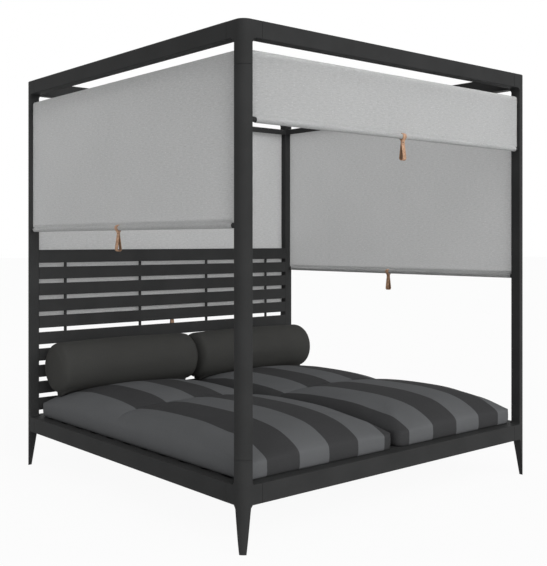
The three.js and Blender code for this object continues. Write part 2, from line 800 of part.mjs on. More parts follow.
for (const [name, sign] of [['left', -1], ['right', 1]]) {
  const pad = piece(`mattress_${name}`, mattress(valleyPlace(name)), stripeCloth);
  pad.position.x = sign * mattressMiddle;
  const roll = piece(`bolster_${name}`, bolster(), bolsterCloth);
  const middle = (halfWidth - postSide + bolsterSideLap + bolsterMiddleGap) / 2;
  roll.position.set(sign * middle + bolsterShift, bolsterPlace, bolsterHeight(valleyPlace(name)));
  daybed.add(pad, roll);
}

export default daybed;
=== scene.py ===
"""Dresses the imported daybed: powder-coated frame, hung blinds, leather pulls and filled cushions."""

import json
import math

import bmesh
import bpy
import numpy as np
from mathutils import Matrix, Vector
from mathutils.bvhtree import BVHTree
from mathutils.kdtree import KDTree


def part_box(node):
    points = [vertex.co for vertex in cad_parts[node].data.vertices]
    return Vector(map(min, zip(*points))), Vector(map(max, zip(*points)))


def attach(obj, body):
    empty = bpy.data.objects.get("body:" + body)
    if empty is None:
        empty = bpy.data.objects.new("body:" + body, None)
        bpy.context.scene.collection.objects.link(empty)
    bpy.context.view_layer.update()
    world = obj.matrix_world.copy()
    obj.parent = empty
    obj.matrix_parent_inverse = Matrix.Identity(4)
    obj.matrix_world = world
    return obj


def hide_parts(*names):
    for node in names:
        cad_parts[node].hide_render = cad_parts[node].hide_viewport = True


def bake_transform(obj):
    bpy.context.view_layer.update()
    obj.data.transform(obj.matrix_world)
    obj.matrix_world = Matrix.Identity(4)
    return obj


bl_info = {
    "name": "Outdoor daybed",
    "version": (1, 0, 0),
    "blender": (4, 5, 0),
    "location": "View3D > Sidebar > Daybed",
    "description": "Dresses a four-post daybed with its blinds, pulls, mattresses and bolsters",
    "category": "Object",
}

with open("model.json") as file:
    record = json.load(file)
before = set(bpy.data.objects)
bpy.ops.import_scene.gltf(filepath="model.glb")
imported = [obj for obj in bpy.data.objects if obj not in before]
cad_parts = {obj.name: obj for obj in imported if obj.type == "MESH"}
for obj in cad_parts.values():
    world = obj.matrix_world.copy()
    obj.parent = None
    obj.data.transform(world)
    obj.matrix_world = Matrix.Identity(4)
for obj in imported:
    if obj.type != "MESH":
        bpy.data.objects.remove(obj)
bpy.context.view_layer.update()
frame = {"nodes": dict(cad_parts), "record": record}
BODIES = frame["record"]["behaviour"]["bodies"]
BODY_OF = {node: body for body, nodes in BODIES.items() for node in nodes}
SLOT_OF = {row["node"]: row["material_slot"] for row in frame["record"]["subparts"]}
TURNS = {"front": 0, "right": 1, "rear": 2, "left": 3}
HALF_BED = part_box("top_beam_right")[1].x


def nodes_starting(*words):
    """Names of the CAD's nodes that start with one of these words, in order."""
    return sorted(node for node in BODY_OF if node.startswith(words))


def side_place(side):
    """Takes (along the side, depth inward, height) to the bed's own axes."""
    turn = Matrix.Rotation(TURNS[side] * math.pi / 2, 4, "Z")
    return turn @ Matrix.Translation((0, -HALF_BED, 0))


def hem_height(side):
    """Height of a hem bar's axis."""
    low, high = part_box(f"hem_bar_{side}")
    return (low.z + high.z) / 2


# Sizes and colours

def length(name, about, default, low=0.0, high=10.0):
    return bpy.props.FloatProperty(
        name=name, description=about, default=default, min=low, max=high, precision=5,
        subtype="DISTANCE", unit="LENGTH")


def amount(name, about, default, low=0.0, high=10.0):
    return bpy.props.FloatProperty(
        name=name, description=about, default=default, min=low, max=high, precision=3)


def colour(name, about, default):
    return bpy.props.FloatVectorProperty(
        name=name, description=about, default=default, size=3, min=0, max=1, subtype="COLOR")


class FrameLook(bpy.types.PropertyGroup):
    paint: colour("Paint", "Colour of the powder coat", (0.035, 0.0354, 0.0356))
    metal: colour("Bare metal", "Colour of the uncoated aluminium", (0.45, 0.46, 0.47))
    gloss: amount("Roughness", "Roughness of the powder coat", 0.5, 0, 1)
    grain: length("Grain", "Size of the powder coat's grain", 0.0011)
    edge: length("Edge", "Width of the eased edges at seams", 0.0015)
    seam: length("Seam", "How far each tube's end stays off its casting", 0.001)


class BlindLook(bpy.types.PropertyGroup):
    cloth: colour("Cloth", "Middle colour of the blind's cloth", (0.47, 0.475, 0.475))
    thickness: length("Thickness", "Thickness of the cloth", 0.0012)
    glow: length("Glow", "How far light travels inside the cloth", 0.012)
    row: length("Row", "Height of the mesh rows that let the cloth stretch", 0.02)
    column: length("Column", "Width of the mesh columns", 0.045)
    ripple: length("Ripple", "How far the hanging cloth strays from flat", 0.00012)
    stitch: length("Stitch", "Length of one stitch over the hem pocket", 0.0042)
    stitch_pitch: length("Stitch pitch", "Distance from stitch to stitch", 0.0068)


class PullLook(bpy.types.PropertyGroup):
    leather: colour("Leather", "Colour of the strap's face", (0.5, 0.3, 0.19))
    flesh: colour("Inside", "Colour of the strap's rough inside", (0.24, 0.14, 0.08))
    cut: colour("Cut edge", "Colour of the strap's cut edges", (0.3, 0.17, 0.1))
    breadth: amount("Breadth", "Breadth of the strap beside the CAD's", 1.2, 0.8, 1.3)
    rivet_radius: length("Rivet radius", "Radius of the rivet's head", 0.0038)
    rivet_drop: length("Rivet drop", "How far the rivet sits below the hem's axis", 0.028)


class MattressLook(bpy.types.PropertyGroup):
    light: colour("Light stripe", "Colour of the light stripes", (0.115, 0.118, 0.122))
    dark: colour("Dark stripe", "Colour of the dark stripes", (0.043, 0.0432, 0.0445))
    voxel: length("Grid", "Grid of the mesh that is filled", 0.012)
    pressure: amount("Pressure", "Pressure of the filling", 4)
    cap: length("Swell", "Most that the filling may move the cover", 0.009)
    crease: length("Crease", "Depth of the groove at the fold", 0.004)
    pucker: length("Pucker", "Height of the puckers beside the fold", 0.0022)


class BolsterLook(bpy.types.PropertyGroup):
    cloth: colour("Cloth", "Colour of the bolster's cloth", (0.047, 0.047, 0.0445))
    voxel: length("Grid", "Grid of the mesh that is filled", 0.009)
    pressure: amount("Pressure", "Pressure of the filling", 3)
    cap: length("Swell", "Most that the filling may move the cover", 0.004)


class StageLook(bpy.types.PropertyGroup):
    eye: bpy.props.FloatVectorProperty(
        name="Camera place", description="Where the camera stands", size=3,
        default=(-3.2817, -3.8627, 1.2868), subtype="TRANSLATION", unit="LENGTH")
    heading: bpy.props.FloatProperty(
        name="Camera heading", description="Turn of the camera from straight along the bed",
        default=math.radians(40.551), subtype="ANGLE", unit="ROTATION")
    lens: bpy.props.FloatProperty(
        name="Lens", description="Focal length of the camera in millimetres", default=57.178)
    lift: bpy.props.FloatProperty(
        name="Lift", description="Vertical shift of the camera's frame", default=-0.07447)
    sky: amount("Sky", "Strength of the even light from all round", 0.2)
    left: amount("Left lamp", "Strength of the soft light from the front left", 1.4)
    front: amount("Front lamp", "Strength of the soft light from the foot end", 1.53)


# Materials

class Number:
    """A value in a node tree. Python's operators on it add Math nodes."""

    def __init__(self, tree, socket):
        self.tree = tree
        self.socket = socket

    def math(self, operation, *values):
        node = self.tree.node("ShaderNodeMath", {"operation": operation}, dict(enumerate(values)))
        return Number(self.tree, node.outputs[0])

    def __add__(self, other):
        return self.math("ADD", self, other)

    def __radd__(self, other):
        return self.math("ADD", other, self)

    def __sub__(self, other):
        return self.math("SUBTRACT", self, other)

    def __rsub__(self, other):
        return self.math("SUBTRACT", other, self)

    def __mul__(self, other):
        return self.math("MULTIPLY", self, other)

    def __rmul__(self, other):
        return self.math("MULTIPLY", other, self)

    def __truediv__(self, other):
        return self.math("DIVIDE", self, other)

    def __rtruediv__(self, other):
        return self.math("DIVIDE", other, self)

    def sine(self):
        return self.math("SINE", self)

    def between(self, low, high):
        """0 below low, 1 above high and smooth in between."""
        node = self.tree.node(
            "ShaderNodeMapRange", {"interpolation_type": "SMOOTHSTEP"},
            {"Value": self, "From Min": low, "From Max": high})
        return Number(self.tree, node.outputs[0])


class Tree:
    """A node tree that is filled by one method."""

    def __init__(self, tree):
        self.tree = tree

    def node(self, kind, settings=None, sockets=None):
        node = self.tree.nodes.new(kind)
        for name, value in (settings or {}).items():
            if name == "stops":
                self.fill_ramp(node.color_ramp, value)
            else:
                setattr(node, name, value)
        for key, value in (sockets or {}).items():
            self.join(value, node.inputs[key])
        return node

    def join(self, value, target):
        if isinstance(value, Number):
            self.tree.links.new(value.socket, target)
        elif isinstance(value, bpy.types.NodeSocket):
            self.tree.links.new(value, target)
        else:
            target.default_value = value

    def fill_ramp(self, ramp, stops):
        ramp.interpolation = "CONSTANT"
        for place, shade in stops:
            stop = ramp.elements[0] if place == stops[0][0] else ramp.elements.new(place)
            stop.color = (shade, shade, shade, 1)
        ramp.elements.remove(ramp.elements[-1])


class Finish(Tree):
    """One material round a Principled shader, with its constants set on the shader itself."""

    def __init__(self, name, constants):
        self.material = bpy.data.materials.new(name)
        self.material.use_nodes = True
        super().__init__(self.material.node_tree)
        self.shader = self.tree.nodes["Principled BSDF"]
        for socket, value in constants.items():
            self.shader.inputs[socket].default_value = value

    def feed(self, socket, value):
        self.join(value, self.shader.inputs[socket])

    def coordinates(self, output):
        return self.node("ShaderNodeTexCoord").outputs[output]

    def scaled(self, place, factors):
        node = self.node(
            "ShaderNodeMapping", {"vector_type": "POINT"}, {"Vector": place, "Scale": factors})
        return node.outputs[0]

    def split(self, place):
        node = self.node("ShaderNodeSeparateXYZ", {}, {0: place})
        return [Number(self, socket) for socket in node.outputs]

    def cloud(self, place, scale, detail=2.0, roughness=0.5):
        node = self.node("ShaderNodeTexNoise", {}, {
            "Vector": place, "Scale": scale, "Detail": detail, "Roughness": roughness})
        return Number(self, node.outputs[0])

    def mixed(self, factor, first, second):
        node = self.node(
            "ShaderNodeMix", {"data_type": "RGBA"}, {0: factor, 6: shade(first), 7: shade(second)})
        return node.outputs[2]

    def bump(self, height, strength, distance):
        node = self.node(
            "ShaderNodeBump", {}, {"Strength": strength, "Distance": distance, "Height": height})
        self.feed("Normal", node.outputs[0])


def shade(value):
    """A colour as the four numbers a socket takes, or the socket it already is."""
    return value if isinstance(value, bpy.types.NodeSocket) else (*value, 1)


def toned(tone, factor):
    """A colour made lighter or darker."""
    return tuple(min(channel * factor, 1) for channel in tone)


def powder_coat(look):
    finish = Finish("powder_coat", {"Specular IOR Level": 0.03})
    place = finish.coordinates("Object")
    grain = finish.cloud(place, 1 / look.grain, 1.5)
    drift = finish.cloud(place, 5, 3)
    tone = finish.mixed(drift.between(0.3, 0.7), toned(look.paint, 0.9), toned(look.paint, 1.08))
    tone = finish.mixed(grain.between(0.55, 0.75), tone, toned(look.paint, 1.35))
    finish.feed("Base Color", tone)
    finish.feed("Roughness", look.gloss + 0.1 * (drift - 0.5) + 0.1 * (grain - 0.5))
    finish.bump(grain, 0.25, 0.00012)
    return finish.material


def bare_metal(look):
    finish = Finish("mill_aluminium", {"Metallic": 1.0})
    place = finish.coordinates("Object")
    streak = finish.cloud(finish.scaled(place, (6, 320, 320)), 1, 3)
    spots = finish.cloud(place, 30, 4)
    tone = finish.mixed(streak.between(0.3, 0.7), toned(look.metal, 0.82), toned(look.metal, 1.1))
    tone = finish.mixed(spots.between(0.62, 0.8), tone, toned(look.metal, 0.7))
    finish.feed("Base Color", tone)
    finish.feed("Roughness", 0.36 + 0.16 * (streak - 0.5) + 0.1 * (spots - 0.5))
    finish.bump(streak, 0.12, 0.0001)
    return finish.material


# Turn of the blind's yarns in radians for each metre, across the cloth and down it
BLIND_WARP = 5200
BLIND_WEFT = 6100


def blind_weave(look):
    """Slubbed cloth: level slubs, pale and dark flecks, and a plain weave in the bump."""
    finish = Finish("blind_weave", {
        "Specular IOR Level": 0.08, "Subsurface Weight": 1.0, "Subsurface Radius": (1, 1, 1),
        "Subsurface Scale": look.glow})
    place = finish.coordinates("UV")
    along, down, _ = finish.split(place)
    slub = finish.cloud(finish.scaled(place, (38, 210, 1)), 1, 3, 0.6)
    fleck = finish.cloud(finish.scaled(place, (95, 240, 1)), 1, 2)
    drift = finish.cloud(place, 2.2, 2)
    level = 0.5 + 0.7 * (slub - 0.5) + 0.5 * (fleck - 0.5) + 0.2 * (drift - 0.5)
    tone = finish.mixed(level.between(0.2, 0.8), toned(look.cloth, 0.86), toned(look.cloth, 1.13))
    tone = finish.mixed(fleck.between(0.66, 0.74), tone, toned(look.cloth, 1.36))
    tone = finish.mixed((1 - slub).between(0.68, 0.78), tone, toned(look.cloth, 0.66))
    finish.feed("Base Color", tone)
    finish.feed("Roughness", 0.86 + 0.1 * fleck)
    weave = (along * BLIND_WARP).sine() * (down * BLIND_WEFT).sine()
    finish.bump(0.25 * weave + slub + 0.5 * fleck, 0.35, 0.00022)
    return finish.material


def grey_thread():
    tone = (0.3, 0.3, 0.3)
    finish = Finish("grey_thread", {"Specular IOR Level": 0.2})
    place = finish.coordinates("Object")
    twist = finish.cloud(place, 2600, 1)
    finish.feed("Base Color", finish.mixed(twist, toned(tone, 0.75), toned(tone, 1.2)))
    finish.feed("Roughness", 0.7 + 0.2 * twist)
    finish.bump(twist, 0.3, 0.0001)
    return finish.material


def leather(name, tone, pores):
    finish = Finish(name, {"Specular IOR Level": 0.35})
    place = finish.coordinates("Object")
    patch = finish.cloud(place, 70, 3)
    fine = finish.cloud(place, 1900, 2)
    hide = finish.mixed(patch.between(0.35, 0.65), toned(tone, 0.74), toned(tone, 1.2))
    finish.feed("Base Color", finish.mixed(fine.between(0.6, 0.72), hide, toned(tone, 0.55)))
    finish.feed("Roughness", 0.5 + 0.25 * patch + 0.1 * fine)
    finish.bump(fine + 0.4 * patch, pores, 0.00015)
    return finish.material


def rivet_metal():
    finish = Finish("rivet_metal", {"Metallic": 1.0})
    place = finish.coordinates("Object")
    scuff = finish.cloud(place, 900, 2)
    finish.feed("Base Color", finish.mixed(scuff, (0.05, 0.042, 0.035), (0.1, 0.085, 0.07)))
    finish.feed("Roughness", 0.35 + 0.25 * scuff)
    return finish.material


# Where the mattress's stripes change along X, from left to right, light first
STRIPE_EDGES = (-0.823, -0.639, -0.455, -0.268, -0.086, 0.088, 0.273, 0.456, 0.647, 0.820)
STRIPE_STRAY = 0.0022
YARN_PITCH = 0.0016


def yarns(finish, place):
    """A plain weave that reads on level and upright faces alike."""
    x, y, z = finish.split(place)
    turn = 2 * math.pi / YARN_PITCH
    return (x * turn).sine() * ((y + z) * turn).sine()


def heathered(finish, place, streaks, drift_scale):
    """Roughness and bump of a heathered cloth. Gives back how light each spot of its yarn is."""
    heather = finish.cloud(finish.scaled(place, streaks), 1, 3, 0.6)
    drift = finish.cloud(place, drift_scale, 3)
    finish.feed("Roughness", 0.84 + 0.12 * heather)
    finish.bump(heather + 0.5 * yarns(finish, place), 0.35, 0.0003)
    return 0.5 + 0.8 * (heather - 0.5) + 0.35 * (drift - 0.5)


def striped_cloth(look):
    finish = Finish("striped_cloth", {"Specular IOR Level": 0.08})
    place = finish.coordinates("Object")
    x, _, _ = finish.split(place)
    stray = finish.cloud(place, 160, 2)
    span = HALF_BED * 2
    spot = (x + HALF_BED + STRIPE_STRAY * (stray - 0.5)) / span
    edges = [(0.0, 1.0)]
    edges += [((edge + HALF_BED) / span, float(i % 2)) for i, edge in enumerate(STRIPE_EDGES)]
    stripe = finish.node("ShaderNodeValToRGB", {"stops": edges}, {"Fac": spot}).outputs[0]
    level = heathered(finish, place, (300, 120, 300), 7)
    dark = finish.mixed(level, toned(look.dark, 0.78), toned(look.dark, 1.3))
    pale = finish.mixed(level, toned(look.light, 0.84), toned(look.light, 1.18))
    finish.feed("Base Color", finish.mixed(stripe, dark, pale))
    return finish.material


def charcoal_weave(look):
    finish = Finish("charcoal_weave", {"Specular IOR Level": 0.08})
    place = finish.coordinates("Object")
    level = heathered(finish, place, (140, 300, 300), 6)
    finish.feed("Base Color", finish.mixed(level, toned(look.cloth, 0.78), toned(look.cloth, 1.28)))
    return finish.material


def kept(name, maker, *values):
    """The material of this name, made on first use."""
    return bpy.data.materials.get(name) or maker(*values)


# Meshes

# A turn between faces past which an edge counts as sharp, and one under which it counts as flat
SHARP = math.radians(60)
FLAT = math.radians(0.1)
# Loose corners nearer than this are one
SAME_PLACE = 2e-6
# How near its end a point has to lie to be on a tube's end face
END_BAND = 0.001
# Degrees up to which the turn between two faces is shaded smooth
FRAME_SMOOTH = 35
CLOTH_SMOOTH = 50
STRAP_SMOOTH = 40


def piece_from(name, shape, *materials):
    """A new object at the origin whose mesh is what the given bmesh holds."""
    mesh = bpy.data.meshes.new(name)
    shape.to_mesh(mesh)
    shape.free()
    piece = bpy.data.objects.new(name, mesh)
    bpy.context.scene.collection.objects.link(piece)
    for material in materials:
        mesh.materials.append(material)
    return piece


def smooth(piece, angle):
    """Shades a piece smooth but for edges that turn by more than this many degrees."""
    mesh = piece.data
    mesh.shade_smooth()
    mesh.set_sharp_from_angle(angle=math.radians(angle))


def settled(piece):
    """The piece with its modifiers applied to its mesh."""
    graph = bpy.context.evaluated_depsgraph_get()
    mesh = bpy.data.meshes.new_from_object(piece.evaluated_get(graph))
    piece.modifiers.clear()
    piece.data = mesh
    return piece


def merged_copy(node):
    """A CAD node's mesh with its loose triangles joined and its flat faces whole."""
    shape = bmesh.new()
    shape.from_mesh(frame["nodes"][node].data)
    bmesh.ops.remove_doubles(shape, verts=shape.verts, dist=SAME_PLACE)
    bmesh.ops.dissolve_limit(
        shape, angle_limit=FLAT, use_dissolve_boundaries=False,
        verts=shape.verts, edges=shape.edges, delimit=set())
    return shape


def draw_in(shape, gap):
    """Shortens a tube at both ends, so that a hairline shows at its seams."""
    points = np.array([vert.co for vert in shape.verts])
    low, high = points.min(axis=0), points.max(axis=0)
    axis = int(np.argmax(high - low))
    for vert in shape.verts:
        if vert.co[axis] < low[axis] + END_BAND:
            vert.co[axis] += gap
        elif vert.co[axis] > high[axis] - END_BAND:
            vert.co[axis] -= gap


def ease(shape, width):
    """Rounds off the sharp edges."""
    sharp = [
        edge for edge in shape.edges if len(edge.link_faces) == 2 and edge.calc_face_angle() > SHARP]
    bmesh.ops.bevel(
        shape, geom=sharp, offset=width, offset_type="OFFSET", affect="EDGES", segments=2,
        profile=0.5, material=-1, clamp_overlap=True)


def dress(node, edge, material, gap=0.0):
    """Puts an eased and smoothly shaded copy of a CAD node in its place."""
    shape = merged_copy(node)
    if gap:
        draw_in(shape, gap)
    if edge:
        ease(shape, edge)
    piece = piece_from(f"{node}_finished", shape, material)
    smooth(piece, FRAME_SMOOTH)
    keep_flats(piece)
    finish_piece(piece, BODY_OF[node], SLOT_OF[node], node)


def keep_flats(piece):
    """Shades the flat faces flat right up to their eased edges."""
    weights = piece.modifiers.new("flats", "WEIGHTED_NORMAL")
    weights.mode = "FACE_AREA"
    weights.keep_sharp = True
    settled(piece)


def finish_piece(piece, body, slot, *nodes):
    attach(piece, body)
    if nodes:
        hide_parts(*nodes)


def need(nodes, count):
    """The nodes, if there are as many as expected."""
    if len(nodes) != count:
        raise RuntimeError(f"expected {count} solids and found {nodes}")
    return nodes


def paint(look, words, count, edge, gap=0.0):
    """Dresses the nodes whose names start with these words in the powder coat."""
    for node in need(nodes_starting(*words), count):
        dress(node, edge, kept("powder_coat", powder_coat, look), gap)


class DressOperator:
    """What the operators share."""
    bl_options = {"REGISTER", "UNDO"}


class DAYBED_OT_castings(DressOperator, bpy.types.Operator):
    """Dresses the four base corners and the four top corners"""
    bl_idname = "daybed.castings"
    bl_label = "Corner castings"

    def execute(self, context):
        look = context.scene.daybed_frame
        paint(look, ("base_corner", "top_corner"), 8, look.edge)
        return {"FINISHED"}


class DAYBED_OT_tubes(DressOperator, bpy.types.Operator):
    """Dresses the posts, rails and beams"""
    bl_idname = "daybed.tubes"
    bl_label = "Posts, rails and beams"

    def execute(self, context):
        look = context.scene.daybed_frame
        paint(look, ("post", "base_rail", "top_beam"), 12, look.edge, look.seam)
        return {"FINISHED"}


class DAYBED_OT_headboard(DressOperator, bpy.types.Operator):
    """Dresses the headboard's slats, top board and uprights"""
    bl_idname = "daybed.headboard"
    bl_label = "Headboard"

    def execute(self, context):
        look = context.scene.daybed_frame
        paint(look, ("headboard",), 14, look.edge / 2)
        return {"FINISHED"}


class DAYBED_OT_deck(DressOperator, bpy.types.Operator):
    """Dresses the slatted deck and the joist under it"""
    bl_idname = "daybed.deck"
    bl_label = "Deck and joist"

    def execute(self, context):
        paint(context.scene.daybed_frame, ("deck", "centre_joist"), 2, 0)
        return {"FINISHED"}


class DAYBED_OT_blind_metal(DressOperator, bpy.types.Operator):
    """Dresses the head rails, roller tubes and hem bars"""
    bl_idname = "daybed.blind_metal"
    bl_label = "Head rails, rollers and hem bars"

    def execute(self, context):
        look = context.scene.daybed_frame
        paint(look, ("head_rail", "hem_bar"), 8, look.edge / 3)
        for node in need(nodes_starting("roller"), 4):
            dress(node, look.edge / 3, kept("mill_aluminium", bare_metal, look))
        return {"FINISHED"}


# Blinds. Places are (along the side, depth inward, height), in metres, and a reach is half a width.

ROLLER_DEPTH = 0.032
ROLLER_HEIGHT = 2.0645
ROLLER_RADIUS = 0.012
CLOTH_DEPTH = 0.0173
CLOTH_REACH = 0.939
POCKET_REACH = 0.917
POCKET_RADIUS = 0.012
# Length of cloth round the pocket, which is cut away beyond its two ends
SLOT_REACH = 0.0128
# Heights above the hem bar's axis: the pull's slot, the seam, the flap's raw edge, the fall's foot
SLOT_BOTTOM = 0.0129
SLOT_TOP = 0.017
SEAM_RISE = 0.0225
FLAP_TOP = 0.027
FALL_FOOT = 0.03
# The flap's distance from the fall, in thicknesses of cloth
FLAP_OFF = 1.15
FEWEST_ROWS = 24
# Waves of the hanging cloth, in radians for each metre along it
LONG_WAVE = 5.3
SHORT_WAVE = 13.7
COIL_TURNS = 1.25
COIL_POINTS = 48
# How far the coil stays off the roller and the fall, in thicknesses of cloth
COIL_OFF_ROLLER = 0.6
COIL_OFF_FALL = 1.1
# Thickness of the coil's cloth beside the distance from turn to turn
COIL_FILL = 0.8
THREAD_RADIUS = 0.00035
# How far the stitches end from the pocket's ends
STITCH_MARGIN = 0.004


def arc(depth, height, radius, start, end, steps):
    """Points (depth, height) along an arc; angle 0 points inward and a quarter turn up."""
    angles = np.radians(np.linspace(start, end, steps + 1))
    return [(depth + radius * math.cos(a), height + radius * math.sin(a)) for a in angles]


def ribbon(outline, stops):
    """A strip of cloth through an outline of (depth, height), extruded from stop to stop."""
    shape = bmesh.new()
    run = shape.verts.layers.float.new("run")
    line = [shape.verts.new((stops[0], depth, height)) for depth, height in outline]
    for before, here in zip(line, line[1:]):
        here[run] = before[run] + (here.co - before.co).length
    edges = [shape.edges.new(pair) for pair in zip(line, line[1:])]
    for start, stop in zip(stops, stops[1:]):
        grown = bmesh.ops.extrude_edge_only(shape, edges=edges)["geom"]
        fresh = {part for part in grown if isinstance(part, bmesh.types.BMVert)}
        edges = [part for part in grown
                 if isinstance(part, bmesh.types.BMEdge) and fresh >= set(part.verts)]
        bmesh.ops.translate(shape, verts=list(fresh), vec=(stop - start, 0, 0))
    uv = shape.loops.layers.uv.new("cloth")
    for face in shape.faces:
        for loop in face.loops:
            loop[uv].uv = (loop.vert.co.x, loop.vert[run])
    return shape


def hanging_outline(look, hem):
    """Over the roller, down to the hem and round its pocket, with a flap sewn up the inner side."""
    over = arc(ROLLER_DEPTH, ROLLER_HEIGHT, ROLLER_DEPTH - CLOTH_DEPTH, 8, 180, 16)
    foot = hem + FALL_FOOT
    rows = max(math.ceil((ROLLER_HEIGHT - foot) / look.row), FEWEST_ROWS)
    fall = [(CLOTH_DEPTH, height) for height in np.linspace(ROLLER_HEIGHT, foot, rows + 1)[1:]]
    rises = (SLOT_BOTTOM, SLOT_TOP, SEAM_RISE, FLAP_TOP)
    fall += [(CLOTH_DEPTH, hem + rise) for rise in reversed(rises)]
    ring = arc(CLOTH_DEPTH, hem, POCKET_RADIUS, 93, 432, 30)
    flap = [(CLOTH_DEPTH + look.thickness * FLAP_OFF, hem + rise) for rise in rises]
    return over + fall + ring + flap


def column_stops(look):
    """Places of the mesh columns, among them the pocket's ends and the slot's sides."""
    columns = math.ceil((POCKET_REACH - SLOT_REACH) / look.column)
    half = [*map(float, np.linspace(SLOT_REACH, POCKET_REACH, columns + 1)), CLOTH_REACH]
    return [-place for place in reversed(half)] + half


def cut_openings(shape, look, hem):
    """Takes out the slot for the pull, and the pocket beyond its two ends."""
    gone = []
    for face in shape.faces:
        middle = face.calc_center_median()
        rise = middle.z - hem
        slot = abs(middle.x) < SLOT_REACH and SLOT_BOTTOM < rise < SLOT_TOP
        flap = middle.y > CLOTH_DEPTH + look.thickness / 2 and rise < FALL_FOOT
        beyond = abs(middle.x) > POCKET_REACH and (rise < SLOT_BOTTOM or flap)
        if slot or beyond:
            gone.append(face)
    bmesh.ops.delete(shape, geom=gone, context="FACES")


def let_ripple(shape, look, hem):
    """Lets the hanging cloth stray a little from flat, not at all at the roller and the hem."""
    for vert in shape.verts:
        fall = (ROLLER_HEIGHT - vert.co.z) / (ROLLER_HEIGHT - hem - FALL_FOOT)
        if 0 < fall < 1:
            freedom = math.sin(math.pi * fall) ** 0.5
            wave = math.sin(vert.co.x * LONG_WAVE + 2.1 * fall)
            wave += 0.5 * math.sin(vert.co.x * SHORT_WAVE - 4 * fall + 1)
            vert.co.y += look.ripple * freedom * (wave + 1.2 * fall)


def walled(piece, thickness):
    """Gives a ribbon of cloth its thickness, half of it to each side."""
    wall = piece.modifiers.new("wall", "SOLIDIFY")
    wall.thickness = thickness
    wall.offset = 0
    settled(piece)
    smooth(piece, CLOTH_SMOOTH)


def to_side(shape, side):
    """Moves a shape from (along, depth, height) to its side of the bed."""
    bmesh.ops.transform(shape, matrix=side_place(side), verts=shape.verts)


class DAYBED_OT_blinds(DressOperator, bpy.types.Operator):
    """Winds and hangs the four blinds and sews their hems"""
    bl_idname = "daybed.blinds"
    bl_label = "Blinds"

    def execute(self, context):
        look = context.scene.daybed_blinds
        for side in TURNS:
            hem = hem_height(side)
            outline = hanging_outline(look, hem)
            sheet = self.sheet(side, look, hem, outline)
            stitches = self.stitches(side, look, hem)
            self.coil(side, look)
        return {"FINISHED"}

    def sheet(self, side, look, hem, outline):
        """The cloth from over the roller down round the hem bar and its flap."""
        shape = ribbon(outline, column_stops(look))
        cut_openings(shape, look, hem)
        let_ripple(shape, look, hem)
        to_side(shape, side)
        piece = piece_from(f"blind_sheet_{side}", shape, kept("blind_weave", blind_weave, look))
        walled(piece, look.thickness)
        piece.visible_shadow = False
        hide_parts(f"blind_cloth_{side}")
        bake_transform(piece)
        return piece

    def coil(self, side, look):
        """The turns still wound on the roller, which go round with it."""
        first = ROLLER_RADIUS + look.thickness * COIL_OFF_ROLLER
        last = ROLLER_DEPTH - CLOTH_DEPTH - look.thickness * COIL_OFF_FALL
        angles = np.linspace(0, COIL_TURNS * 2 * math.pi, COIL_POINTS)
        radii = np.linspace(first, last, COIL_POINTS)
        outline = [(ROLLER_DEPTH + radius * math.cos(angle), ROLLER_HEIGHT + radius * math.sin(angle))
                   for angle, radius in zip(angles, radii)]
        shape = ribbon(outline, [-CLOTH_REACH, 0, CLOTH_REACH])
        to_side(shape, side)
        piece = piece_from(f"blind_coil_{side}", shape, kept("blind_weave", blind_weave, look))
        walled(piece, (last - first) / COIL_TURNS * COIL_FILL)
        finish_piece(piece, f"roller_{side}", "blind_cloth")

    def stitches(self, side, look, hem):
        """A row of stitches over the pocket, on the outer and the inner face."""
        shape = bmesh.new()
        lie = Matrix.Rotation(math.pi / 2, 4, "Y")
        count = int((POCKET_REACH - STITCH_MARGIN) / look.stitch_pitch)
        outer, inner = -look.thickness / 2, look.thickness * (FLAP_OFF + 0.5)
        for step in range(-count, count + 1):
            for depth in (outer, inner):
                spot = (step * look.stitch_pitch, CLOTH_DEPTH + depth, hem + SEAM_RISE)
                bmesh.ops.create_cone(
                    shape, cap_ends=True, segments=6, radius1=THREAD_RADIUS, radius2=THREAD_RADIUS,
                    depth=look.stitch, matrix=Matrix.Translation(spot) @ lie)
        to_side(shape, side)
        piece = piece_from(f"hem_stitches_{side}", shape, kept("grey_thread", grey_thread))
        smooth(piece, CLOTH_SMOOTH)
        finish_piece(piece, f"blind_{side}", "blind_cloth")
        return piece


# Pulls. Drops are measured down from the hem bar's axis.

LOOP_DROP = 0.07
# How high above the loop's middle the strap's inside still shows, how much the bends at the loop's
# top and foot count in telling it, and how squarely a cut edge faces along the hem
INSIDE_RISE = 0.035
BEND_SHARE = 0.2
CUT_FACING = 0.9
STRAP_EASE = 0.0005
# The rivet's heads: how far each stands from the cloth's plane, and its dome beside its radius
HEAD_OFF = 0.0026
HEAD_DOME = 0.32


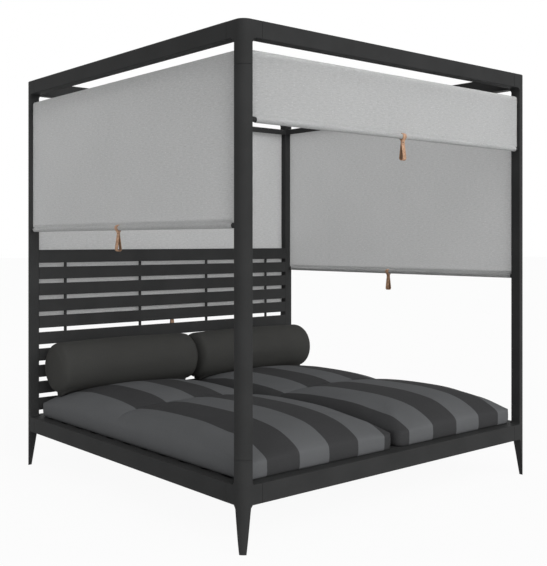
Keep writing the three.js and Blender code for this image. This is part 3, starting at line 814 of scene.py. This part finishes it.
class DAYBED_OT_pulls(DressOperator, bpy.types.Operator):
    """Makes the four leather pulls with their rivets"""
    bl_idname = "daybed.pulls"
    bl_label = "Leather pulls"

    def execute(self, context):
        look = context.scene.daybed_pulls
        skins = [kept("leather_face", leather, "leather_face", look.leather, 0.25),
                 kept("leather_flesh", leather, "leather_flesh", look.flesh, 0.5),
                 kept("leather_cut", leather, "leather_cut", look.cut, 0.4)]
        for side in TURNS:
            self.strap(side, look, skins)
            self.rivet(side, look)
        return {"FINISHED"}

    def strap(self, side, look, skins):
        """The CAD's strap, with its inside and its cut edges told apart from its face."""
        node = f"pull_{side}"
        shape = merged_copy(node)
        bmesh.ops.transform(shape, matrix=side_place(side).inverted(), verts=shape.verts)
        bmesh.ops.scale(shape, vec=(look.breadth, 1, 1), verts=shape.verts)
        shape.normal_update()
        loop = Vector((0, CLOTH_DEPTH, hem_height(side) - LOOP_DROP))
        for face in shape.faces:
            middle = face.calc_center_median() - loop
            inward = face.normal.y * middle.y + face.normal.z * middle.z * BEND_SHARE < 0
            if abs(face.normal.x) > CUT_FACING:
                face.material_index = 2
            elif inward and middle.z < INSIDE_RISE:
                face.material_index = 1
        ease(shape, STRAP_EASE)
        to_side(shape, side)
        piece = piece_from(f"{node}_strap", shape, *skins)
        smooth(piece, STRAP_SMOOTH)
        finish_piece(piece, node, "leather", node)

    def rivet(self, side, look):
        """A domed head on each face of the pinched strap."""
        shape = bmesh.new()
        place = Vector((0, CLOTH_DEPTH, hem_height(side) - look.rivet_drop))
        for off in (-HEAD_OFF, HEAD_OFF):
            head = bmesh.ops.create_uvsphere(
                shape, u_segments=20, v_segments=12, radius=look.rivet_radius)["verts"]
            bmesh.ops.scale(shape, verts=head, vec=(1, HEAD_DOME, 1))
            bmesh.ops.translate(shape, verts=head, vec=place + Vector((0, off, 0)))
        to_side(shape, side)
        piece = piece_from(f"pull_{side}_rivet", shape, kept("rivet_metal", rivet_metal))
        smooth(piece, CLOTH_SMOOTH)
        finish_piece(piece, f"pull_{side}", "leather")


# Cushions

FILLING_FRAMES = 20
# Share of the grid's points, in percent, that swell by less than the cap. The rest are held to it.
FREE_SWELL = 75
# How many of the grid's points carry each point of the cover
CARRIERS = 16
# A swell too small to divide by
STILL = 1e-9
# Points of a cover nearer than this are sewn together
SEWN = 1e-5


def inflated(piece, voxel, pressure, cap, hold):
    """Fills a cushion by a short cloth simulation of an even grid, and moves its cover with the grid.

    hold gives, for a point, how firmly it stays where it is, from 0 to 1. The swell is scaled so that
    it comes to the cap wherever the filling pushes hard, and the cover then fills its CAD solid."""
    grid = bpy.data.objects.new("grid", piece.data.copy())
    bpy.context.scene.collection.objects.link(grid)
    remesh = grid.modifiers.new("grid", "REMESH")
    remesh.mode = "VOXEL"
    remesh.voxel_size = voxel
    settled(grid)
    group = grid.vertex_groups.new(name="held")
    for vert in grid.data.vertices:
        firmness = hold(vert.co)
        if firmness > 0:
            group.add([vert.index], firmness, "REPLACE")
    cloth = grid.modifiers.new("fill", "CLOTH")
    cloth.settings.vertex_group_mass = group.name
    cloth.settings.use_pressure = True
    cloth.settings.uniform_pressure_force = pressure
    cloth.settings.effector_weights.gravity = 0
    cloth.point_cache.frame_start = 1
    cloth.point_cache.frame_end = FILLING_FRAMES
    scene = bpy.context.scene
    for step in range(1, FILLING_FRAMES + 1):
        scene.frame_set(step)
    graph = bpy.context.evaluated_depsgraph_get()
    before = positions(grid.data)
    move = positions(grid.evaluated_get(graph).data) - before
    scene.frame_set(1)
    bpy.data.meshes.remove(grid.data)
    swell = np.linalg.norm(move, axis=1)
    move *= cap / max(float(np.percentile(swell, FREE_SWELL)), STILL)
    move *= np.minimum(1, cap / np.maximum(np.linalg.norm(move, axis=1, keepdims=True), STILL))
    carry(piece, before, move)


def carry(piece, before, move):
    """Moves each vertex by the mean move of the grid's nearest points."""
    tree = KDTree(len(before))
    for index, place in enumerate(before):
        tree.insert(place, index)
    tree.balance()
    points = positions(piece.data)
    for point in points:
        found = [index for _, index, _ in tree.find_n(point, CARRIERS)]
        point += move[found].mean(axis=0)
    set_positions(piece.data, points)


def positions(mesh):
    """A mesh's vertices as rows of x, y and z."""
    flat = np.empty(len(mesh.vertices) * 3)
    mesh.vertices.foreach_get("co", flat)
    return flat.reshape(-1, 3)


def set_positions(mesh, points):
    mesh.vertices.foreach_set("co", points.ravel())
    mesh.update()


def subdivided(piece):
    """Smooths a cover by one step of subdivision."""
    step = piece.modifiers.new("smooth", "SUBSURF")
    step.levels = 1
    step.render_levels = 1
    settled(piece)
    piece.data.shade_smooth()


# Heights of the waist and the top, and how far the top drops to its ends, its fold and its sides
MATTRESS_WAIST = 0.352
MATTRESS_TOP = 0.470
FRONT_DROP = 0.057
REAR_DROP = 0.066
VALLEY_DROP = 0.022
SIDE_DROP = 0.032
# Widths of the rolled edges on top, and of the small one round the base
FRONT_ROLL = 0.150
ROLL = 0.090
BASE_INSET = 0.014
PLAN_CORNER = 0.054
# Share of the grid's rows that goes to the rolled edges
ROLL_SHARE = 0.26
# Where each mattress folds, along the bed
VALLEYS = {"left": 0.0951, "right": -0.0187}
# Share of the swell by which a cover starts inside its CAD solid
MATTRESS_SLIM = 0.7
# Heights below which the base lies still and above which the fold is tufted, and the tufting's reach
BASE_TOP = 0.29
TUFTING_FOOT = 0.38
TUFTING_REACH = 0.014
# Heights between which the groove and the puckers grow to their full depth
FOLD_FOOT = 0.33
FOLD_RISE = 0.07
GROOVE_REACH = 0.011
PUCKER_REACH = 0.05
# Room between a bolster and what it lies on
NEST_ROOM = 0.0008
PRESS_ROOM = 0.0006


def eased(share, half, roll):
    """A place across a cushion for a share from -1 to 1, with more places over its rolled edges."""
    flat = 1 - ROLL_SHARE
    if abs(share) <= flat:
        return share / flat * (half - roll)
    turn = (abs(share) - flat) / ROLL_SHARE * math.pi / 2
    return math.copysign(half - roll * (1 - math.sin(turn)), share)


def rounded_corner(x, y, half_x, half_y):
    """A place in the plan moved in round the corners, and its distance from the edge."""
    p = max(abs(x) - half_x + PLAN_CORNER, 0) / PLAN_CORNER
    q = max(abs(y) - half_y + PLAN_CORNER, 0) / PLAN_CORNER
    if not p or not q:
        return x, y, min(half_x - abs(x), half_y - abs(y))
    u = p * math.sqrt(1 - q * q / 2)
    v = q * math.sqrt(1 - p * p / 2)
    x = math.copysign(half_x - PLAN_CORNER * (1 - u), x)
    y = math.copysign(half_y - PLAN_CORNER * (1 - v), y)
    return x, y, PLAN_CORNER * (1 - math.hypot(u, v))


class DAYBED_OT_mattresses(DressOperator, bpy.types.Operator):
    """Fills the two striped mattresses"""
    bl_idname = "daybed.mattresses"
    bl_label = "Mattresses"

    def execute(self, context):
        look = context.scene.daybed_mattresses
        for side in ("left", "right"):
            node = f"mattress_{side}"
            piece = self.pad(side, node, look)
            valley = VALLEYS[side]
            inflated(
                piece, look.voxel, look.pressure, look.cap, lambda spot: self.hold(spot, valley))
            subdivided(piece)
            self.fold(piece, valley, look)
            self.nest(piece, f"bolster_{side}")
            finish_piece(piece, "frame", "stripe_cloth", node)
        return {"FINISHED"}

    def hold(self, spot, valley):
        """The base lies on the deck, and the fold is held down by its tufting."""
        if spot.z < BASE_TOP:
            return 1.0
        if spot.z > TUFTING_FOOT:
            return max(0.0, 1 - abs(spot.y - valley) / TUFTING_REACH)
        return 0.0

    def pad(self, side, node, look):
        """Two grids that meet at the waist: the cover's crowned top and its flat underside."""
        low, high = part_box(node)
        middle = (low + high) / 2
        slim = look.cap * MATTRESS_SLIM
        half_x = (high.x - low.x) / 2 - slim
        half_y = (high.y - low.y) / 2 - slim
        shape = bmesh.new()
        bmesh.ops.create_grid(shape, x_segments=56, y_segments=104, size=1)
        lower = bmesh.ops.duplicate(shape, geom=shape.faces[:])["geom"]
        under = {part for part in lower if isinstance(part, bmesh.types.BMVert)}
        bmesh.ops.reverse_faces(
            shape, faces=[part for part in lower if isinstance(part, bmesh.types.BMFace)])
        for vert in shape.verts:
            rim = max(abs(vert.co.x), abs(vert.co.y)) > 1 - SEWN
            end_roll = FRONT_ROLL if vert.co.y < 0 else ROLL
            x, y = eased(vert.co.x, half_x, ROLL), eased(vert.co.y, half_y, end_roll)
            x, y, depth = rounded_corner(x, y, half_x, half_y)
            if rim:
                height = MATTRESS_WAIST
            elif vert in under:
                height = MATTRESS_WAIST - (MATTRESS_WAIST - low.z) * self.rolled(depth, BASE_INSET)
            else:
                crown = self.crown(y + middle.y, x / half_x, VALLEYS[side], low.y, high.y) - slim
                left = self.rolled(half_x - abs(x), ROLL) * self.rolled(half_y - abs(y), end_roll)
                height = MATTRESS_WAIST + (crown - MATTRESS_WAIST) * left
            vert.co = (x + middle.x, y + middle.y, height)
        bmesh.ops.remove_doubles(shape, verts=shape.verts, dist=SEWN)
        return piece_from(f"{node}_cover", shape, kept("striped_cloth", striped_cloth, look))

    def rolled(self, depth, width):
        """How high a rolled edge of this width stands at a depth in from the edge, from 0 to 1."""
        rest = 1 - min(max(depth, 0) / width, 1)
        return math.sqrt(1 - rest * rest)

    def crown(self, y, cross, valley, front, back):
        """Height of the top, which bulges in front of the fold and behind it."""
        end, end_drop = (front, FRONT_DROP) if y < valley else (back, REAR_DROP)
        share = (y - valley) / (end - valley) * 2 - 1
        drop = end_drop * share ** 2 if share > 0 else VALLEY_DROP * abs(share) ** 3
        return MATTRESS_TOP - drop - SIDE_DROP * cross ** 2

    def fold(self, piece, valley, look):
        """The sharp groove across the mattress, with small puckers that fade away from it.

        The line wanders a few millimetres, and the waves are in radians for each metre."""
        points = positions(piece.data)
        x, y, z = points.T
        line = valley + 0.005 * np.sin(x * 9 + 1) + 0.003 * np.sin(x * 31)
        away = np.abs(y - line)
        top = np.clip((z - FOLD_FOOT) / FOLD_RISE, 0, 1)
        groove = look.crease * np.exp(-((away / GROOVE_REACH) ** 2))
        wave = np.sin(x * 74 + 2 * np.sin(x * 17)) * np.sin(away * 46 + 0.6)
        pucker = look.pucker * wave * np.exp(-((away / PUCKER_REACH) ** 2))
        points[:, 2] += top * (pucker - groove)
        set_positions(piece.data, points)

    def nest(self, piece, bolster):
        """Presses the hollow that the bolster lies in."""
        low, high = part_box(bolster)
        middle = (low + high) / 2
        reach = (high.z - low.z) / 2 + NEST_ROOM
        points = positions(piece.data)
        across = np.minimum(np.abs(points[:, 1] - middle.y), reach)
        points[:, 2] = np.minimum(points[:, 2], middle.z - np.sqrt(reach ** 2 - across ** 2))
        set_positions(piece.data, points)


# Roundings of the outer and the inner end, the disc's dome and how far the top bellies up
BOLSTER_END = 0.046
BOLSTER_INNER_END = 0.036
BOLSTER_DOME = 0.010
BOLSTER_BELLY = 0.012
BOLSTER_SLIM = 0.5
# Distance from the shoulder to the first ring, and the number of rings
RING_INSET = 0.01
RINGS = 33
# How far over the mattress the underside still follows it
SAG_REACH = 0.03
# Height under which a bolster's points belong to its underside, and one over every mattress
UNDERSIDE_TOP = 0.5
OVER_MATTRESS = 0.6


class DAYBED_OT_bolsters(DressOperator, bpy.types.Operator):
    """Fills the two bolsters and presses them on the mattresses"""
    bl_idname = "daybed.bolsters"
    bl_label = "Bolsters"

    def execute(self, context):
        look = context.scene.daybed_bolsters
        for side in ("left", "right"):
            node = f"bolster_{side}"
            piece = self.roll(node, look)
            inflated(piece, look.voxel, look.pressure, look.cap, lambda spot: 0.0)
            subdivided(piece)
            self.press(piece, bpy.data.objects[f"mattress_{side}_cover"])
            finish_piece(piece, "frame", "bolster_cloth", node)
        return {"FINISHED"}

    def roll(self, node, look):
        """A profile spun round the bolster's axis, with its top bellied up a little."""
        low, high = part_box(node)
        middle = (low + high) / 2
        slim = look.cap * BOLSTER_SLIM
        radius = (high.z - low.z) / 2 - slim
        half = (high.x - low.x) / 2 - slim
        ends = [self.end(half, radius, rounding) for rounding in (BOLSTER_END, BOLSTER_INNER_END)]
        left, right = ends if middle.x < 0 else reversed(ends)
        start, stop = RING_INSET - left[0][0], right[0][0] - RING_INSET
        line = [(-x, r) for x, r in reversed(left)]
        line += [(float(x), radius) for x in np.linspace(start, stop, RINGS)]
        line += right
        shape = bmesh.new()
        verts = [shape.verts.new((middle.x + x, middle.y, middle.z + r)) for x, r in line]
        edges = [shape.edges.new(pair) for pair in zip(verts, verts[1:])]
        bmesh.ops.spin(
            shape, geom=verts + edges, cent=middle, axis=(1, 0, 0), angle=2 * math.pi, steps=56,
            use_merge=True, use_duplicate=False)
        bmesh.ops.remove_doubles(shape, verts=shape.verts, dist=SEWN)
        bmesh.ops.recalc_face_normals(shape, faces=shape.faces)
        for vert in shape.verts:
            share = min(abs(vert.co.x - middle.x) / half, 1)
            vert.co.z += BOLSTER_BELLY * (1 - share ** 2) * max(vert.co.z - middle.z, 0) / radius
        return piece_from(f"{node}_cover", shape, kept("charcoal_weave", charcoal_weave, look))

    def end(self, half, radius, rounding):
        """One end's profile (along, out), from its shoulder to the middle of its domed disc."""
        shoulder = half - BOLSTER_DOME - rounding
        disc = radius - rounding
        turn = np.radians(np.arange(9, 91, 9))
        line = [(shoulder + rounding * math.sin(a), disc + rounding * math.cos(a)) for a in turn]
        return [(shoulder, radius)] + line + [
            (half - BOLSTER_DOME * share ** 2, disc * share) for share in (0.75, 0.5, 0.25, 0.0)]

    def press(self, piece, mattress):
        """Flattens the roll against the headboard, and lets its underside follow the mattress."""
        tree = BVHTree.FromObject(mattress, bpy.context.evaluated_depsgraph_get())
        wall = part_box("headboard_slat_3")[0].y - PRESS_ROOM
        points = positions(piece.data)
        lowest = points[:, 2].min()
        for point in points:
            point[1] = min(point[1], wall)
            if point[2] < UNDERSIDE_TOP:
                above = Vector((point[0], point[1], OVER_MATTRESS))
                hit = tree.ray_cast(above, Vector((0, 0, -1)))[0]
                if hit:
                    gap = point[2] - hit.z - PRESS_ROOM
                    sag = max(0, 1 - (point[2] - lowest) / SAG_REACH) if gap < SAG_REACH else 0
                    point[2] -= gap * (1 if gap < 0 else sag)
        set_positions(piece.data, points)


# Stage

# Each lamp's direction from the bed, and the angle of sky that it fills, in degrees
LEFT_LAMP = ((-0.583, -0.694, 0.423), 70)
FRONT_LAMP = ((0.16, -0.89, 0.42), 50)
LAMP_DISTANCE = 6
FLOOR_REACH = 60
# Share of plain white in the floor as the camera sees it
PAPER_SHARE = 0.94


def background_rays(tree):
    """1 where the background is seen straight, in gloss or through glass, 0 where it gives light."""
    rays = tree.node("ShaderNodeLightPath").outputs
    seen = Number(tree, rays["Is Camera Ray"])
    for name in ("Is Glossy Ray", "Is Transmission Ray"):
        seen = seen.math("MAXIMUM", seen, rays[name])
    return seen


class DAYBED_OT_stage(DressOperator, bpy.types.Operator):
    """Sets the floor, the studio light and the camera"""
    bl_idname = "daybed.stage"
    bl_label = "Floor, light and camera"

    def execute(self, context):
        look = context.scene.daybed_stage
        context.scene.view_settings.view_transform = "Standard"
        self.floor()
        self.sky(look)
        self.sun("left_light", look.left, *LEFT_LAMP)
        self.sun("front_light", look.front, *FRONT_LAMP)
        self.camera(look)
        return {"FINISHED"}

    def floor(self):
        shape = bmesh.new()
        bmesh.ops.create_grid(shape, x_segments=1, y_segments=1, size=FLOOR_REACH)
        finish = Finish("studio_floor", {"Roughness": 0.9, "Specular IOR Level": 0.0})
        place = finish.coordinates("Object")
        mottle = finish.cloud(place, 3, 2)
        finish.feed("Base Color", finish.mixed(mottle, (0.93, 0.93, 0.93), (0.95, 0.95, 0.95)))
        self.brighten(finish)
        floor = piece_from("studio_floor", shape, finish.material)

    def brighten(self, finish):
        """Shows the floor as white paper that still holds a faint shadow."""
        seen = background_rays(finish)
        paper = finish.node("ShaderNodeEmission", {}, {"Color": (1, 1, 1, 1), "Strength": 1.0})
        mix = finish.node("ShaderNodeMixShader", {}, {
            0: seen * PAPER_SHARE, 1: finish.shader.outputs[0], 2: paper.outputs[0]})
        finish.join(mix.outputs[0], finish.tree.nodes["Material Output"].inputs["Surface"])

    def sky(self, look):
        """White where the camera, gloss or glass sees it, and softer as a light."""
        world = bpy.data.worlds.new("studio")
        bpy.context.scene.world = world
        world.use_nodes = True
        tree = Tree(world.node_tree)
        strength = look.sky + (1 - look.sky) * background_rays(tree)
        back = world.node_tree.nodes["Background"]
        back.inputs["Color"].default_value = (1, 1, 1, 1)
        tree.join(strength, back.inputs["Strength"])

    def sun(self, name, strength, towards, softness):
        """A broad soft lamp that shines on the bed from one direction."""
        lamp = bpy.data.lights.new(name, "SUN")
        lamp.energy = strength
        lamp.angle = math.radians(softness)
        holder = bpy.data.objects.new(name, lamp)
        bpy.context.scene.collection.objects.link(holder)
        holder.rotation_euler = Vector(towards).to_track_quat("Z", "Y").to_euler()
        holder.location = Vector(towards) * LAMP_DISTANCE

    def camera(self, look):
        lens = bpy.data.cameras.new("camera")
        lens.lens = look.lens
        lens.sensor_width = 36
        lens.sensor_fit = "AUTO"
        lens.shift_y = look.lift
        lens.clip_end = 300
        holder = bpy.data.objects.new("camera", lens)
        bpy.context.scene.collection.objects.link(holder)
        holder.location = look.eye
        holder.rotation_euler = (math.pi / 2, 0, -look.heading)
        bpy.context.scene.camera = holder


class DAYBED_PT_panel(bpy.types.Panel):
    """Lists the steps that dress the daybed"""
    bl_label = "Daybed"
    bl_space_type = "VIEW_3D"
    bl_region_type = "UI"
    bl_category = "Daybed"

    def draw(self, context):
        for operator in OPERATORS:
            self.layout.operator(operator.bl_idname)


LOOKS = {
    "daybed_frame": FrameLook,
    "daybed_blinds": BlindLook,
    "daybed_pulls": PullLook,
    "daybed_mattresses": MattressLook,
    "daybed_bolsters": BolsterLook,
    "daybed_stage": StageLook,
}
OPERATORS = (
    DAYBED_OT_stage,
    DAYBED_OT_castings,
    DAYBED_OT_tubes,
    DAYBED_OT_headboard,
    DAYBED_OT_deck,
    DAYBED_OT_blind_metal,
    DAYBED_OT_blinds,
    DAYBED_OT_pulls,
    DAYBED_OT_mattresses,
    DAYBED_OT_bolsters,
)


def register():
    for look in LOOKS.values():
        bpy.utils.register_class(look)
    for name, look in LOOKS.items():
        setattr(bpy.types.Scene, name, bpy.props.PointerProperty(type=look))
    for operator in OPERATORS:
        bpy.utils.register_class(operator)
    bpy.utils.register_class(DAYBED_PT_panel)


def unregister():
    bpy.utils.unregister_class(DAYBED_PT_panel)
    for operator in reversed(OPERATORS):
        bpy.utils.unregister_class(operator)
    for name, look in LOOKS.items():
        delattr(bpy.types.Scene, name)
        bpy.utils.unregister_class(look)


def main():
    register()
    bpy.ops.daybed.stage()
    bpy.ops.daybed.castings()
    bpy.ops.daybed.tubes()
    bpy.ops.daybed.headboard()
    bpy.ops.daybed.deck()
    bpy.ops.daybed.blind_metal()
    bpy.ops.daybed.blinds()
    bpy.ops.daybed.pulls()
    bpy.ops.daybed.mattresses()
    bpy.ops.daybed.bolsters()


if __name__ == "__main__":
    main()
